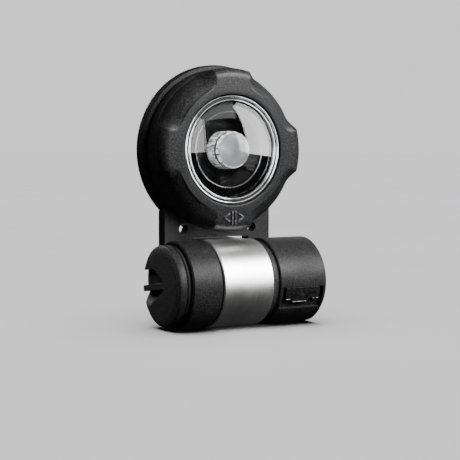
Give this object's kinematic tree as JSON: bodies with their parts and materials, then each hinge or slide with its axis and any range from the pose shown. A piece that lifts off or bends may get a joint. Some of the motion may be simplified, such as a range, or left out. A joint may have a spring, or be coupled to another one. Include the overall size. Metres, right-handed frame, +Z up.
{
  "type": "compact led headlamp unit",
  "caption": "Compact strap-mounted LED lamp head on a horizontal battery barrel, with a rotary switch bezel, a tilting metal knuckle and a screw battery cap.",
  "frame": {"origin": "below the middle of the footprint, on the plane the lamp stands on", "axes": "+X along the battery barrel away from its cap, +Y out of the back towards the strap, +Z up; the lens faces -Y"},
  "size_m": [0.0446, 0.0306, 0.0661],
  "materials": {
    "knuckle": "satin brushed around the barrel axis",
    "bush": "plain moulded acetal",
    "housing": "fine spark-eroded texture",
    "cover": "fine spark-eroded texture",
    "bezel": "fine soft-touch texture",
    "cap": "fine spark-eroded texture",
    "clip": "smooth moulded nylon",
    "slide": "smooth moulded plastic",
    "spacer": "plain moulded plastic",
    "rubber": "plain silicone rubber",
    "steel": "plain",
    "chrome": "polished",
    "lens": "clear polished",
    "silicone": "soft clear silicone",
    "baffle": "high gloss black",
    "alloy": "bright turned",
    "gold": "gold plated",
    "board": "solder mask",
    "white_board": "white solder mask",
    "phosphor": "phosphor layer",
    "chip": "moulded component bodies",
    "cell_wrap": "plain printed sleeve without marks",
    "red_wire": "silicone insulation",
    "black_wire": "silicone insulation"
  },
  "bodies": {
    "bracket": {"knuckle_band": "knuckle", "knuckle_bush": "bush", "strap_clip": "clip", "clip_screws": "steel"},
    "lamp": {"yoke_housing": "housing", "rear_cover": "cover", "cover_seal": "rubber", "cover_screws": "steel", "battery_tube": "alloy", "lithium_cell": "cell_wrap", "positive_contact": "gold", "contact_carrier": "spacer", "friction_ring": "spacer", "thrust_washer": "spacer", "positive_lead": "red_wire", "negative_lead": "black_wire", "heat_sink": "alloy", "led_board": "white_board", "led_emitter": "phosphor", "led_dome": "silicone", "driver_board": "board", "driver_parts": "chip", "reflector_cup": "baffle", "lens": "lens", "lens_seal": "rubber", "trim_ring": "chrome", "bezel_retainer": "steel", "detent_balls": "steel", "detent_springs": "steel"},
    "bezel": {"bezel_ring": "bezel", "bezel_magnets": "steel"},
    "cap_carrier": {"cap_seal": "rubber"},
    "cap": {"battery_cap": "cap", "cap_contact": "gold", "negative_spring": "steel"},
    "slide": {"lock_slide": "slide"}
  },
  "joints": [
    {"name": "head_tilt", "type": "hinge", "parent": "bracket", "child": "lamp", "pos_m": [-0.00075, -0.0043, 0.011], "axis": [1, 0, 0], "range_deg": [0, 90]},
    {"name": "bezel_turn", "type": "hinge", "parent": "lamp", "child": "bezel", "pos_m": [-0.00075, -0.0043, 0.0445], "axis": [0, -1, 0], "range_deg": [-30, 30]},
    {"name": "cap_travel", "type": "slide", "parent": "lamp", "child": "cap_carrier", "axis": [-1, 0, 0], "range_m": [0, 0.002]},
    {"name": "cap_turn", "type": "hinge", "parent": "cap_carrier", "child": "cap", "pos_m": [-0.00075, -0.0043, 0.011], "axis": [-1, 0, 0], "range_deg": [0, 720]},
    {"name": "lock_travel", "type": "slide", "parent": "lamp", "child": "slide", "axis": [1, 0, 0], "range_m": [-0.001, 0.001]}
  ],
  "couplings": [
    {"joint": "cap_turn", "follows": "cap_travel", "rad_per_m": 6283.2}
  ]
}
